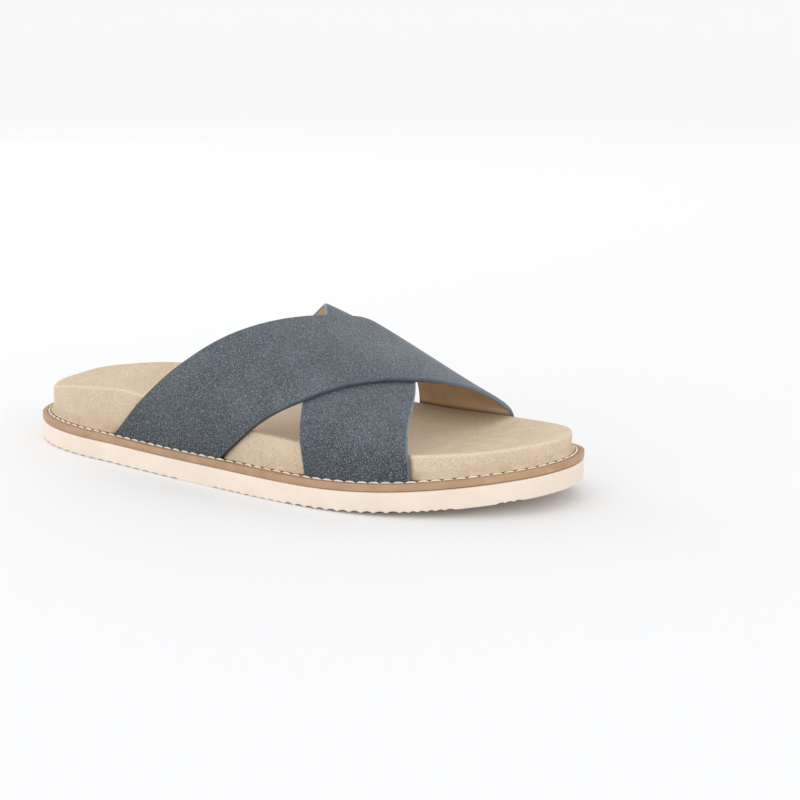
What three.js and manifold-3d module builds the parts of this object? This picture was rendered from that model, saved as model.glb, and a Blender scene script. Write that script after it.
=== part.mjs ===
// Slide sandal for the right foot, in millimetres: +X to the toe, +Y to the big toe's side, +Z up.
// The origin is on the floor, in the middle of the sandal's length and width.
// A foam outsole with a rippled tread carries a leather welt, and the welt carries a contoured footbed.
// The upper is two wide straps of thick suede. They stand on the welt against the footbed's wall, arch
// over the instep, cross there and are joined where they cross.

import * as THREE from 'three';
import { mergeVertices } from 'three/addons/utils/BufferGeometryUtils.js';
import Module from 'manifold-3d';

// Driving dimensions of the sole
const LENGTH = 285;
const BALL_WIDTH = 111;
const HEEL_WIDTH = 91;
const OUTSOLE_THICKNESS = 9.3;
const WELT_THICKNESS = 3.2;
const WELT_LEDGE = 5.8;
const TOE_SPRING = 9.1;
const SPRING_START = 0.618;
const LAYER_GAP = 0.3;

// Flutes run across the tread, and each takes up this share of its pitch. A flat land is left beside it.
const FLUTE_SHARE = 0.86;

// Driving dimensions of the footbed
const RIM_HEIGHT = 22;
const RIM_RADIUS = 2;
const RIM_FLAT = 1;

// Driving dimensions of the upper
const STRAP_THICKNESS = 2.2;
const VAULT_HEIGHT = 83;
const CREST_OFFSET = 18;
const CREST_DRIFT = 9.5;
const JOIN_GAP = 0.3;
const JOIN_MARGIN = 2.5;
const JOIN_BITE = 0.9;

// Facets
const OUTLINE_STEPS = 72;
const FINE_STEPS = 720;
const STRAP_ROWS = 30;
const STRAP_COLUMNS = 7;
const TIP_STEPS = 5;

// The sole's outline from above. station is a share of the length from the heel, and each side's
// distance from the middle line is a share of the width that it follows.
const OUTLINE = [
  { station: 0.02, lateral: 0.197, medial: 0.185, of: HEEL_WIDTH },
  { station: 0.07, lateral: 0.342, medial: 0.332, of: HEEL_WIDTH },
  { station: 0.15, lateral: 0.44, medial: 0.45, of: HEEL_WIDTH },
  { station: 0.25, lateral: 0.485, medial: 0.515, of: HEEL_WIDTH },
  { station: 0.36, lateral: 0.439, medial: 0.425, of: BALL_WIDTH },
  { station: 0.48, lateral: 0.471, medial: 0.444, of: BALL_WIDTH },
  { station: 0.6, lateral: 0.499, medial: 0.487, of: BALL_WIDTH },
  { station: 0.7, lateral: 0.497, medial: 0.497, of: BALL_WIDTH },
  { station: 0.78, lateral: 0.452, medial: 0.502, of: BALL_WIDTH },
  { station: 0.86, lateral: 0.35, medial: 0.48, of: BALL_WIDTH },
  { station: 0.93, lateral: 0.214, medial: 0.417, of: BALL_WIDTH },
  { station: 0.98, lateral: 0.062, medial: 0.303, of: BALL_WIDTH },
];
const TOE_TIP_SHIFT = 0.12;

// The fluted fields of the tread, from and to as shares of the length, with the flutes' pitch and
// depth. The sole is plain at the waist and before the toe.
const TREAD_FIELDS = [
  { from: 0.04, to: 0.4, pitch: 5.9, depth: 0.5 },
  { from: 0.47, to: 0.615, pitch: 4.5, depth: 0.5 },
  { from: 0.615, to: 0.805, pitch: 5.6, depth: 0.85 },
  { from: 0.805, to: 0.877, pitch: 3.3, depth: 0.7 },
  { from: 0.928, to: 0.957, pitch: 2.7, depth: 0.6 },
];

// Heights of the footbed above the welt, as shares of the rim's greatest height: both rims, the bed
// between them, and how far each side's slope reaches in (a low number is a wide, gentle slope).
const FOOTBED = [
  { station: 0.02, lateral: 0.59, medial: 0.59, bed: 0.455, lateralSlope: 3.4, medialSlope: 3.4 },
  { station: 0.05, lateral: 0.59, medial: 0.73, bed: 0.43, lateralSlope: 3.3, medialSlope: 3.3 },
  { station: 0.1, lateral: 0.76, medial: 0.82, bed: 0.39, lateralSlope: 3.2, medialSlope: 3.1 },
  { station: 0.15, lateral: 0.87, medial: 0.88, bed: 0.365, lateralSlope: 3.2, medialSlope: 3 },
  { station: 0.2, lateral: 0.95, medial: 0.9, bed: 0.375, lateralSlope: 3.2, medialSlope: 2.7 },
  { station: 0.27, lateral: 1, medial: 0.9, bed: 0.4, lateralSlope: 3.2, medialSlope: 2.3 },
  { station: 0.42, lateral: 0.84, medial: 0.83, bed: 0.49, lateralSlope: 3.2, medialSlope: 1.8 },
  { station: 0.56, lateral: 0.67, medial: 0.7, bed: 0.455, lateralSlope: 3.6, medialSlope: 2.4 },
  { station: 0.7, lateral: 0.59, medial: 0.58, bed: 0.31, lateralSlope: 4, medialSlope: 3.8 },
  { station: 0.8, lateral: 0.505, medial: 0.51, bed: 0.3, lateralSlope: 4, medialSlope: 4 },
  { station: 0.9, lateral: 0.455, medial: 0.445, bed: 0.227, lateralSlope: 4, medialSlope: 4 },
  { station: 1, lateral: 0.423, medial: 0.423, bed: 0.227, lateralSlope: 4, medialSlope: 4 },
];

// Height of the vault's crest over the floor, as a share of its greatest height.
const VAULT = [
  { station: 0.254, crest: 0.98 },
  { station: 0.395, crest: 1 },
  { station: 0.535, crest: 0.908 },
  { station: 0.675, crest: 0.724 },
  { station: 0.816, crest: 0.458 },
];
// How full the vault's section is: 2 is an ellipse, and less is flatter. The medial side grows flatter
// by an amount between two stations.
const FULLNESS = 2.03;
const MEDIAL_EASE = { amount: 0.25, from: 0.45, full: 0.7 };
// The straps stand upright against the footbed's wall up to this share of the rim's height.
const UPRIGHT_SHARE = 0.8;

// Where the straps' edges run: a station of the length for each share of the way over the foot, from
// the lateral base (share 0) to the medial base (share 1).
const STRAP_EDGES = [
  { share: 0, overRear: 0.24, overFront: 0.48, underRear: 0.645, underFront: 0.813 },
  { share: 0.1, overRear: 0.312, overFront: 0.542, underRear: 0.636, underFront: 0.81 },
  { share: 0.25, overRear: 0.4155, overFront: 0.645, underRear: 0.619, underFront: 0.794 },
  { share: 0.5, overRear: 0.558, overFront: 0.749, underRear: 0.565, underFront: 0.737 },
  { share: 0.75, overRear: 0.634, overFront: 0.809, underRear: 0.436, underFront: 0.598 },
  { share: 1, overRear: 0.653, overFront: 0.835, underRear: 0.251, underFront: 0.436 },
];
// The shares are measured along the vault's section at this station.
const SHARE_STATION = 0.42;
// The upper strap leaves the vault between these shares and rides over the lower strap.
const LIFT = { from: 0.05, full: 0.19 };

const wasm = await Module();
wasm.setup();

const stationX = (station) => (station - 0.5) * LENGTH;
const xStation = (x) => x / LENGTH + 0.5;
const smooth = (u) => {
  const t = THREE.MathUtils.clamp(u, 0, 1);
  return t * t * (3 - 2 * t);
};

// A smooth curve through a table's rows: the value of one column at a place along the key column.
function along(table, key, column, place) {
  const last = table.length - 1;
  const at = THREE.MathUtils.clamp(place, table[0][key], table[last][key]);
  let i = 0;
  while (i < last - 1 && table[i + 1][key] <= at) i += 1;
  const slope = (k) => {
    const a = table[Math.max(k - 1, 0)];
    const b = table[Math.min(k + 1, last)];
    return (b[column] - a[column]) / (b[key] - a[key]);
  };
  const span = table[i + 1][key] - table[i][key];
  const u = (at - table[i][key]) / span;
  const rise = 3 * u * u - 2 * u * u * u;
  return table[i][column] * (1 - rise) + table[i + 1][column] * rise
    + span * slope(i) * (u - 2 * u * u + u * u * u)
    + span * slope(i + 1) * (u * u * u - u * u);
}

// How far the toe spring lifts the sole at a place along it.
function spring(x) {
  const start = stationX(SPRING_START);
  return TOE_SPRING * (Math.max(x - start, 0) / (LENGTH / 2 - start)) ** 2;
}

// The sole's outline, counter-clockwise from the toe tip, with its box centred on the origin.
function soleOutline(steps) {
  const side = (row, name, sign) => new THREE.Vector3(stationX(row.station), sign * row[name] * row.of, 0);
  const knots = [
    new THREE.Vector3(LENGTH / 2, TOE_TIP_SHIFT * BALL_WIDTH, 0),
    ...OUTLINE.toReversed().map((row) => side(row, 'medial', 1)),
    new THREE.Vector3(-LENGTH / 2, 0, 0),
    ...OUTLINE.map((row) => side(row, 'lateral', -1)),
  ];
  const curve = new THREE.CatmullRomCurve3(knots, true, 'centripetal');
  curve.arcLengthDivisions = FINE_STEPS;
  const box = new THREE.Box3().setFromPoints(curve.getSpacedPoints(FINE_STEPS));
  const middle = box.getCenter(new THREE.Vector3());
  return curve.getSpacedPoints(steps).slice(0, steps).map((p) => p.sub(middle));
}

// An outline moved inwards by a distance, square to itself.
function inset(outline, distance) {
  const count = outline.length;
  return outline.map((p, i) => {
    const heading = outline[(i + 1) % count].clone().sub(outline[(i + count - 1) % count]).normalize();
    return new THREE.Vector3(p.x - heading.y * distance, p.y + heading.x * distance, 0);
  });
}

// The two sides of an outline as functions of x. The outline starts at its toe tip.
function sidesOf(outline) {
  const heel = outline.reduce((best, p, i) => (p.x < outline[best].x ? i : best), 0);
  const toe = outline.reduce((best, p, i) => (p.x > outline[best].x ? i : best), 0);
  const turned = [...outline.slice(toe), ...outline.slice(0, toe)];
  const turn = (heel - toe + outline.length) % outline.length;
  const medial = turned.slice(0, turn + 1).reverse();
  const lateral = [...turned.slice(turn), turned[0]];
  const at = (line, x) => {
    const place = THREE.MathUtils.clamp(x, line[0].x, line[line.length - 1].x);
    let i = 0;
    while (i < line.length - 2 && line[i + 1].x < place) i += 1;
    const u = (place - line[i].x) / (line[i + 1].x - line[i].x || 1);
    return line[i].y + (line[i + 1].y - line[i].y) * u;
  };
  return { lateral: (x) => at(lateral, x), medial: (x) => at(medial, x) };
}

const fineOutline = soleOutline(FINE_STEPS);
const outline = soleOutline(OUTLINE_STEPS);
const soleSides = sidesOf(fineOutline);
const wallSides = sidesOf(inset(fineOutline, WELT_LEDGE));
const strapSides = sidesOf(inset(fineOutline, WELT_LEDGE - LAYER_GAP - STRAP_THICKNESS));

const WELT_BASE = OUTSOLE_THICKNESS + LAYER_GAP;
const WELT_TOP = WELT_BASE + WELT_THICKNESS;
const SEAT = WELT_TOP + LAYER_GAP;

// A closed geometry from its points and its faces, each face a list of point numbers that turns
// counter-clockwise seen from outside.
function closedGeometry(points, faces) {
  const corners = [];
  for (const face of faces) {
    for (let k = 1; k < face.length - 1; k += 1) {
      corners.push(face[0], face[k], face[k + 1]);
    }
  }
  const geometry = new THREE.BufferGeometry();
  geometry.setAttribute('position', new THREE.Float32BufferAttribute(points.flatMap((p) => p.toArray()), 3));
  geometry.setIndex(corners);
  return geometry;
}

// Skins a stack of rings of equal count, each ring counter-clockwise seen from above. The first ring
// is closed as the underside, and the last as the top, each with rungs across from side to side.
function stackGeometry(rings) {
  const count = rings[0].length;
  const faces = [];
  for (let r = 0; r < rings.length - 1; r += 1) {
    for (let i = 0; i < count; i += 1) {
      const j = (i + 1) % count;
      faces.push([r * count + i, r * count + j, (r + 1) * count + j, (r + 1) * count + i]);
    }
  }
  const top = (rings.length - 1) * count;
  for (let i = 0; i < count / 2; i += 1) {
    const rung = [i, i + 1, (count - i - 1) % count, (count - i) % count];
    const corners = rung.filter((k, n) => rung.indexOf(k) === n);
    faces.push(corners.map((k) => top + k));
    faces.push(corners.toReversed());
  }
  return closedGeometry(rings.flat(), faces);
}

// Skins a row of sections of equal count, each section counter-clockwise seen from its far end.
function rowGeometry(sections) {
  const count = sections[0].length;
  const faces = [];
  for (let r = 0; r < sections.length - 1; r += 1) {
    for (let i = 0; i < count; i += 1) {
      const j = (i + 1) % count;
      faces.push([r * count + i, (r + 1) * count + i, (r + 1) * count + j, r * count + j]);
    }
  }
  const last = (sections.length - 1) * count;
  faces.push([...sections[0].keys()]);
  faces.push([...sections[0].keys()].reverse().map((k) => last + k));
  return closedGeometry(sections.flat(), faces);
}

// A ring inside the sole: the outline inset by a distance, drawn in towards the middle line by a share.
function innerRing(distance, share, height) {
  const spineReach = 0.6;
  return inset(outline, distance).map((p) => {
    const x = p.x * spineReach;
    const spine = new THREE.Vector3(x, (wallSides.lateral(x) + wallSides.medial(x)) / 2, 0);
    const point = spine.lerp(p, share);
    point.z = height(point, share);
    return point;
  });
}

// The outsole's underside at a place along it: flutes in the tread's fields, plain between them.
function treadStations() {
  const stations = [];
  const add = (x, depth) => stations.push({ x, depth });
  const tip = TREAD_FIELDS[0].from * LENGTH;
  for (let k = 1; k <= TIP_STEPS; k += 1) {
    add(-LENGTH / 2 + tip * (1 - Math.cos((k / TIP_STEPS) * (Math.PI / 2))) * 0.9, 0);
  }
  TREAD_FIELDS.forEach((field, f) => {
    const room = (field.to - field.from) * LENGTH;
    const count = Math.max(Math.round(room / field.pitch), 1);
    const reach = (FLUTE_SHARE * room) / count / 2;
    for (let k = 0; k < count; k += 1) {
      const middle = stationX(field.from) + ((k + 0.5) * room) / count;
      add(middle - reach, 0);
      add(middle - reach / 2, field.depth * 0.8);
      add(middle, field.depth);
      add(middle + reach / 2, field.depth * 0.8);
      add(middle + reach, 0);
    }
    const next = TREAD_FIELDS[f + 1];
    if (next) {
      add(stationX((field.to + next.from) / 2), 0);
    }
  });
  const toe = (1 - TREAD_FIELDS[TREAD_FIELDS.length - 1].to) * LENGTH;
  for (let k = TIP_STEPS - 1; k >= 1; k -= 1) {
    add(LENGTH / 2 - toe * (1 - Math.cos((k / TIP_STEPS) * (Math.PI / 2))) * 0.9, 0);
  }
  add(-LENGTH / 2 + 0.02, 0);
  add(LENGTH / 2 - 0.02, 0);
  return stations.sort((a, b) => a.x - b.x);
}

// The foam outsole: upright sides, the toe sprung up, flutes across the underside.
function outsoleGeometry() {
  const sections = treadStations().map(({ x, depth }) => {
    const floor = spring(x) + depth;
    const top = spring(x) + OUTSOLE_THICKNESS;
    const lateral = soleSides.lateral(x);
    const medial = soleSides.medial(x);
    return [
      new THREE.Vector3(x, lateral, floor),
      new THREE.Vector3(x, lateral, top),
      new THREE.Vector3(x, medial, top),
      new THREE.Vector3(x, medial, floor),
    ];
  });
  return rowGeometry(sections);
}

// The welt, a sheet of leather that follows the outsole's outline and its toe spring.
function weltGeometry() {
  const shares = [0.35, 0.7, 1];
  const under = shares.map((share) => innerRing(0, share, (p) => spring(p.x) + WELT_BASE));
  const over = shares.toReversed().map((share) => innerRing(0, share, (p) => spring(p.x) + WELT_TOP));
  return stackGeometry([...under, ...over]);
}

// Height of the footbed's rim above its seat on the welt, blended across the width.
function rimHeight(point) {
  const station = xStation(point.x);
  const lateral = wallSides.lateral(point.x);
  const across = (point.y - lateral) / (wallSides.medial(point.x) - lateral || 1);
  const low = along(FOOTBED, 'station', 'lateral', station);
  const high = along(FOOTBED, 'station', 'medial', station);
  return RIM_HEIGHT * THREE.MathUtils.lerp(low, high, smooth(across));
}

// The footbed's top inside its rim: a bowl whose sides rise from the bed to the rim.
function bowlHeight(point, share, rim) {
  const station = xStation(point.x);
  const middle = (wallSides.lateral(point.x) + wallSides.medial(point.x)) / 2;
  const side = smooth(0.5 + (point.y - middle) / BALL_WIDTH);
  const slope = THREE.MathUtils.lerp(
    along(FOOTBED, 'station', 'lateralSlope', station),
    along(FOOTBED, 'station', 'medialSlope', station),
    side,
  );
  const bed = RIM_HEIGHT * along(FOOTBED, 'station', 'bed', station);
  return bed + (rim - bed) * share ** slope;
}

// The contoured footbed: an upright wall, a rounded rim and a bowl with heel cup and arch.
function footbedGeometry() {
  const rings = [0.35, 0.7, 1].map((share) => innerRing(WELT_LEDGE, share, (p) => spring(p.x) + SEAT));
  const roundSteps = 3;
  for (let k = 0; k <= roundSteps; k += 1) {
    const turn = (k / roundSteps) * (Math.PI / 2);
    const reach = WELT_LEDGE + RIM_RADIUS * (1 - Math.cos(turn));
    const drop = RIM_RADIUS * (1 - Math.sin(turn));
    rings.push(innerRing(reach, 1, (p) => spring(p.x) + SEAT + rimHeight(p) - drop));
  }
  const crest = WELT_LEDGE + RIM_RADIUS + RIM_FLAT;
  for (const share of [1, 0.92, 0.83, 0.73, 0.61, 0.47, 0.3, 0.12]) {
    rings.push(innerRing(crest, share, (p) => spring(p.x) + SEAT + bowlHeight(p, share, rimHeight(p))));
  }
  return stackGeometry(rings);
}

// A point of the vault that the lower strap's outer face follows. turn goes from 0 at the lateral
// base to pi at the medial base, and rise is 0 at the foot of the upright part and 1 from its top on.
function vaultPoint(x, turn, rise) {
  const seat = spring(x) + SEAT;
  const lateral = strapSides.lateral(x);
  const medial = strapSides.medial(x);
  const crest = (lateral + medial) / 2 + CREST_OFFSET - CREST_DRIFT * (x / (LENGTH / 2));
  const { amount, from, full } = MEDIAL_EASE;
  const ease = turn < Math.PI / 2 ? 0 : amount * smooth((xStation(x) - from) / (full - from));
  const power = 2 / (FULLNESS - ease);
  const out = Math.abs(Math.cos(turn)) ** power;
  const up = Math.sin(turn) ** power;
  const side = turn < Math.PI / 2 ? 'lateral' : 'medial';
  const base = turn < Math.PI / 2 ? lateral : medial;
  const upright = UPRIGHT_SHARE * RIM_HEIGHT * along(FOOTBED, 'station', side, xStation(x));
  const spread = crest + (base - crest) * out;
  const top = VAULT_HEIGHT * along(VAULT, 'station', 'crest', xStation(x));
  const shoulder = seat + upright * rise;
  return new THREE.Vector3(x, spread, shoulder + (top - shoulder) * up);
}

// The rows of a strap: places across the foot, each with its share of the way over.
function strapRows() {
  const rows = [{ turn: 0, rise: 0 }, { turn: 0, rise: 0.5 }];
  for (let k = 0; k <= STRAP_ROWS; k += 1) {
    rows.push({ turn: (k / STRAP_ROWS) * Math.PI, rise: 1 });
  }
  rows.push({ turn: Math.PI, rise: 0.5 }, { turn: Math.PI, rise: 0 });
  const x = stationX(SHARE_STATION);
  const points = rows.map(({ turn, rise }) => vaultPoint(x, Math.min(turn, Math.PI), rise));
  let length = 0;
  rows.forEach((row, k) => {
    length += k ? points[k].distanceTo(points[k - 1]) : 0;
    row.share = length;
  });
  return rows.map((row) => ({ ...row, share: row.share / length }));
}

// A grid of points on the vault between two edges, and the vault's normal at each.
function vaultGrid(rows, rear, front) {
  const points = rows.map((row) => {
    const from = rear(row.share);
    const to = front(row.share);
    return Array.from({ length: STRAP_COLUMNS + 1 }, (_, c) => {
      const x = THREE.MathUtils.lerp(from, to, c / STRAP_COLUMNS);
      return vaultPoint(x, row.turn, row.rise);
    });
  });
  const normals = points.map((line, r) => line.map((_, c) => {
    const before = points[Math.max(r - 1, 0)][c];
    const after = points[Math.min(r + 1, points.length - 1)][c];
    const left = line[Math.max(c - 1, 0)];
    const right = line[Math.min(c + 1, STRAP_COLUMNS)];
    return right.clone().sub(left).cross(after.clone().sub(before)).normalize();
  }));
  return { points, normals, rows };
}

// A sheet between two distances from the vault, closed round its edges.
function sheetGeometry(grid, inner, outer) {
  const wide = STRAP_COLUMNS + 1;
  const tall = grid.rows.length;
  const face = (offset) => grid.points.flatMap((line, r) => line.map((p, c) => (
    p.clone().addScaledVector(grid.normals[r][c], offset(grid.rows[r].share))
  )));
  const points = [...face(outer), ...face(inner)];
  const under = wide * tall;
  const faces = [];
  for (let r = 0; r < tall - 1; r += 1) {
    for (let c = 0; c < wide - 1; c += 1) {
      const a = r * wide + c;
      faces.push([a, a + 1, a + 1 + wide, a + wide]);
      faces.push([under + a, under + a + wide, under + a + 1 + wide, under + a + 1]);
    }
    const rear = r * wide;
    const front = rear + wide - 1;
    faces.push([rear, rear + wide, under + rear + wide, under + rear]);
    faces.push([front, under + front, under + front + wide, front + wide]);
  }
  for (let c = 0; c < wide - 1; c += 1) {
    const end = (tall - 1) * wide + c;
    faces.push([c, under + c, under + c + 1, c + 1]);
    faces.push([end, end + 1, under + end + 1, under + end]);
  }
  return closedGeometry(points, faces);
}

function toSolid(geometry) {
  const merged = mergeVertices(geometry);
  return new wasm.Manifold(new wasm.Mesh({
    numProp: 3,
    vertProperties: new Float32Array(merged.attributes.position.array),
    triVerts: new Uint32Array(merged.index.array),
  }));
}

function fromSolid(solid) {
  const mesh = solid.getMesh();
  const geometry = new THREE.BufferGeometry();
  geometry.setAttribute('position', new THREE.Float32BufferAttribute(mesh.vertProperties, 3));
  geometry.setIndex(Array.from(mesh.triVerts));
  return geometry;
}

// The upper: the lower strap on the vault, the upper strap over it, and the glued joint between them
// where they cross, set in from the crossing's edges.
function upperGeometry() {
  const rows = strapRows();
  const edge = (name) => (share) => stationX(along(STRAP_EDGES, 'share', name, share));
  const overRear = edge('overRear');
  const overFront = edge('overFront');
  const underRear = edge('underRear');
  const underFront = edge('underFront');
  const clear = STRAP_THICKNESS + JOIN_GAP;
  const lift = (share) => clear * smooth((Math.min(share, 1 - share) - LIFT.from) / (LIFT.full - LIFT.from));
  const under = sheetGeometry(vaultGrid(rows, underRear, underFront), () => -STRAP_THICKNESS, () => 0);
  const over = sheetGeometry(
    vaultGrid(rows, overRear, overFront),
    (share) => lift(share) - STRAP_THICKNESS,
    lift,
  );
  const joinRear = (share) => Math.max(overRear(share), underRear(share)) + JOIN_MARGIN;
  const joinFront = (share) => Math.min(overFront(share), underFront(share)) - JOIN_MARGIN;
  const crossed = rows.filter(({ share }) => joinFront(share) - joinRear(share) > JOIN_MARGIN);
  const joint = sheetGeometry(
    vaultGrid(crossed, joinRear, joinFront),
    () => -JOIN_BITE,
    () => JOIN_GAP + JOIN_BITE,
  );
  return fromSolid(toSolid(under).add(toSolid(joint)).add(toSolid(over)));
}

function piece(name, geometry, color, roughness) {
  const mesh = new THREE.Mesh(geometry, new THREE.MeshStandardMaterial({ color, roughness, metalness: 0 }));
  mesh.name = name;
  return mesh;
}

const sandal = new THREE.Group();
sandal.add(
  piece('outsole', outsoleGeometry(), 0xf3e2d3, 0.75),
  piece('welt', weltGeometry(), 0xa98261, 0.7),
  piece('footbed', footbedGeometry(), 0xcbb496, 0.9),
  piece('upper', upperGeometry(), 0x4f5761, 0.9),
);

export default sandal;
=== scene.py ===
"""Slide sandal for the right foot: foam outsole, stitched welt, suede footbed and two crossed straps.

Lengths are in millimetres until a mesh is made. +X runs to the toe, +Y to the big toe's side, +Z up.
The outline, the footbed and the vault of the straps come from the same sizes and tables as the solids.
"""

import math
import random

import bpy
import numpy as np
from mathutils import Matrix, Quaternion, Vector


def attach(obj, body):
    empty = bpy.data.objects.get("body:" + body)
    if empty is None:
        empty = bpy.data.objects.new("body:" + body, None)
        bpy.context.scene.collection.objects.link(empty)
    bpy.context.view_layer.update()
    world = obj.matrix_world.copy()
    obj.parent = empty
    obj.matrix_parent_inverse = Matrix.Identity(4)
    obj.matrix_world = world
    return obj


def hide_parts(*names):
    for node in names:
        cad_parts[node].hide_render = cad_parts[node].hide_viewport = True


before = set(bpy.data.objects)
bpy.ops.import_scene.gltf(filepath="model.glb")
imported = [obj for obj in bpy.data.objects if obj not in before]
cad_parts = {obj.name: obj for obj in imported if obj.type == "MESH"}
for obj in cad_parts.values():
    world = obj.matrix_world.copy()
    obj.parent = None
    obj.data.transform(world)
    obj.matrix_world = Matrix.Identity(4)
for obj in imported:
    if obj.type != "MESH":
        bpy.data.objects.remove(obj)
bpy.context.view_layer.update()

MM = 0.001
BODY = "root"

# Camera, fitted to the outlines in the photograph, in metres and degrees
CAMERA_PLACE = (0.4352, -0.6686, 0.2187)
CAMERA_TARGET = (0.06075, -0.0020, 0.040)
CAMERA_LENS = 77.7
CAMERA_SENSOR = 36
CAMERA_ROLL = 1.02

# Sizes of the sole
LENGTH = 285
BALL_WIDTH = 111
HEEL_WIDTH = 91
OUTSOLE_THICKNESS = 9.3
WELT_THICKNESS = 3.2
WELT_LEDGE = 5.8
TOE_SPRING = 9.1
SPRING_START = 0.618
LAYER_GAP = 0.3
WELT_BASE = OUTSOLE_THICKNESS + LAYER_GAP
WELT_TOP = WELT_BASE + WELT_THICKNESS
SEAT = WELT_TOP + LAYER_GAP
SPINE_REACH = 0.6

# Outsole: radii of its edges, the height at which the flutes run out on its side, and the share of its
# pitch that a flute takes up
UNDER_RADIUS = 0.3
TOP_RADIUS = 0.7
FLUTE_TOP = 3
FLUTE_SHARE = 0.94

# Welt: its edges' rounding, the groove outside the stitches, and the needle holes
WELT_ROUNDING = 0.5
GROOVE_OFFSET = 0.85
GROOVE_DEPTH = 0.2
HOLE_REACH = 0.75
HOLE_DEPTH = 0.2

# Footbed
RIM_HEIGHT = 22
RIM_RADIUS = 1.6
RIM_FLAT = 0.7
TURN_OUT = 1.5

# Straps and the vault under them. The vault's crest lies CREST_OFFSET to the medial side, and less far by
# CREST_DRIFT at the toe's tip. At a FULLNESS of 2 its section is an ellipse, and MEDIAL_EASE is taken off
# that on the medial side, between two stations. The upper strap rises onto the lower one between the
# shares LIFT_FROM and LIFT_FULL of the way over.
STRAP_THICKNESS = 2.2
STRAP_GAP = 0.3
VAULT_HEIGHT = 83
CREST_OFFSET = 18
CREST_DRIFT = 9.5
FULLNESS = 2.03
MEDIAL_EASE = 0.25
EASE_FROM = 0.45
EASE_FULL = 0.7
UPRIGHT_SHARE = 0.8
SHARE_STATION = 0.42
LIFT_FROM = 0.05
LIFT_FULL = 0.19
EDGE_RADIUS = 0.8

# The running stitch on the welt
STITCH_PITCH = 5.4
STITCH_LENGTH = 5.1
STITCH_INSET = 3.4
STITCH_STRAP_INSET = 2.75
STITCH_RADIUS = 0.5
STITCH_SLANT = 0.16
STITCH_ARCH = 0.22
STITCH_DIP = 0.15
PLY_TURNS = 1.6
PLY_DEPTH = 0.1

# The studio's light, in watts for the lamps
SKY_STRENGTH = 0.98
TOP_POWER = 1
FRONT_POWER = 4.5
RIGHT_POWER = 4.5
HEEL_POWER = 5

# The floor is darker near the camera, and pales over these distances from the middle, in metres. Its
# turn in degrees sets the backdrop square to the view.
FLOOR_NEAR = (0.83, 0.835, 0.845, 1)
FLOOR_FAR = (0.965, 0.965, 0.965, 1)
FLOOR_FADE = (-0.5, 1.6)
FLOOR_TURN = 29.3

# How fine the meshes are. The first WALL_ROWS of a strap's rows reach from its base past the rim, and
# FACE_SHARES are the rings that fill a flat face, as shares of the way out to its edge.
FINE_STEPS = 1440
RING_STEPS = 720
SOLE_SLICES = 712
WALL_RINGS = 7
RIM_RINGS = 8
BOWL_RINGS = 26
STRAP_ROWS = 220
WALL_ROWS = 30
STRAP_COLUMNS = 56
FACE_SHARES = (0.05, 0.35, 0.7, 0.95)

# Distances of the outline from the middle line, as shares of the heel's width in the first rows and of
# the ball's width in the others. station is a share of the length from the heel.
OUTLINE = {
    "station": (0.02, 0.07, 0.15, 0.25, 0.36, 0.48, 0.6, 0.7, 0.78, 0.86, 0.93, 0.98),
    "lateral": (0.197, 0.342, 0.44, 0.485, 0.439, 0.471, 0.499, 0.497, 0.452, 0.35, 0.214, 0.062),
    "medial": (0.185, 0.332, 0.45, 0.515, 0.425, 0.444, 0.487, 0.497, 0.502, 0.48, 0.417, 0.303),
}
HEEL_ROWS = 4
TOE_TIP_SHIFT = 0.12

# Fluted fields of the tread: from and to as shares of the length, pitch and depth
TREAD_FIELDS = (
    (0.04, 0.4, 5.9, 0.45),
    (0.47, 0.615, 4.5, 0.4),
    (0.615, 0.805, 5.6, 0.8),
    (0.805, 0.877, 3.3, 0.6),
    (0.928, 0.957, 2.7, 0.55),
)

# Heights of both rims and of the bed between them, as shares of the rim's greatest height, and how
# far each side's slope reaches in.
FOOTBED = {
    "station": (0.02, 0.05, 0.1, 0.15, 0.2, 0.27, 0.42, 0.56, 0.7, 0.8, 0.9, 1),
    "lateral": (0.59, 0.59, 0.76, 0.87, 0.95, 1, 0.84, 0.67, 0.59, 0.505, 0.455, 0.423),
    "medial": (0.59, 0.73, 0.82, 0.88, 0.9, 0.9, 0.83, 0.7, 0.58, 0.51, 0.445, 0.423),
    "bed": (0.455, 0.43, 0.39, 0.365, 0.375, 0.4, 0.49, 0.455, 0.31, 0.3, 0.227, 0.227),
    "lateral_slope": (3.4, 3.3, 3.2, 3.2, 3.2, 3.2, 3.2, 3.6, 4, 4, 4, 4),
    "medial_slope": (3.4, 3.3, 3.1, 3, 2.7, 2.3, 1.8, 2.4, 3.8, 4, 4, 4),
}

# Rings of the footbed's lower edge from its seat up: share of the turn-out, height and darkness of painted
# shade
LOWER_EDGE = (
    (0.95, 0, 0.6),
    (1, 0.25, 0.4),
    (0.85, 0.55, 0.3),
    (0.5, 0.8, 0.4),
    (0.22, 1.3, 0.35),
    (0.07, 2, 0.25),
)

# Shadow that a strap leaves on the footbed's wall: its strength, and from how far behind the strap's
# front edge to how far past it, in millimetres, each with its soft end
STRAP_SHADOW = 0.75
STRAP_SHADOW_BAND = (-4, 1.5, 0.5, 1.3)

# Soft zones of the footbed's top, of painted light under the straps, painted shade over the toe and painted
# shadow under the upper strap: greatest strength, station and length of the rise, and station and length of
# the fall
PAINTED_LIGHT_ZONE = (0.36, 0.32, 40, 0.8, 35)
TOE_SHADE_ZONE = (0.3, 0.755, 22, 0.935, 26)
SHADOW_ZONE = (0.75, 0.62, 12, 0.845, 8)

# Height of the vault's crest, as a share of its greatest height
VAULT = {
    "station": (0.254, 0.395, 0.535, 0.675, 0.816),
    "crest": (0.98, 1, 0.908, 0.724, 0.458),
}

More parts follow.
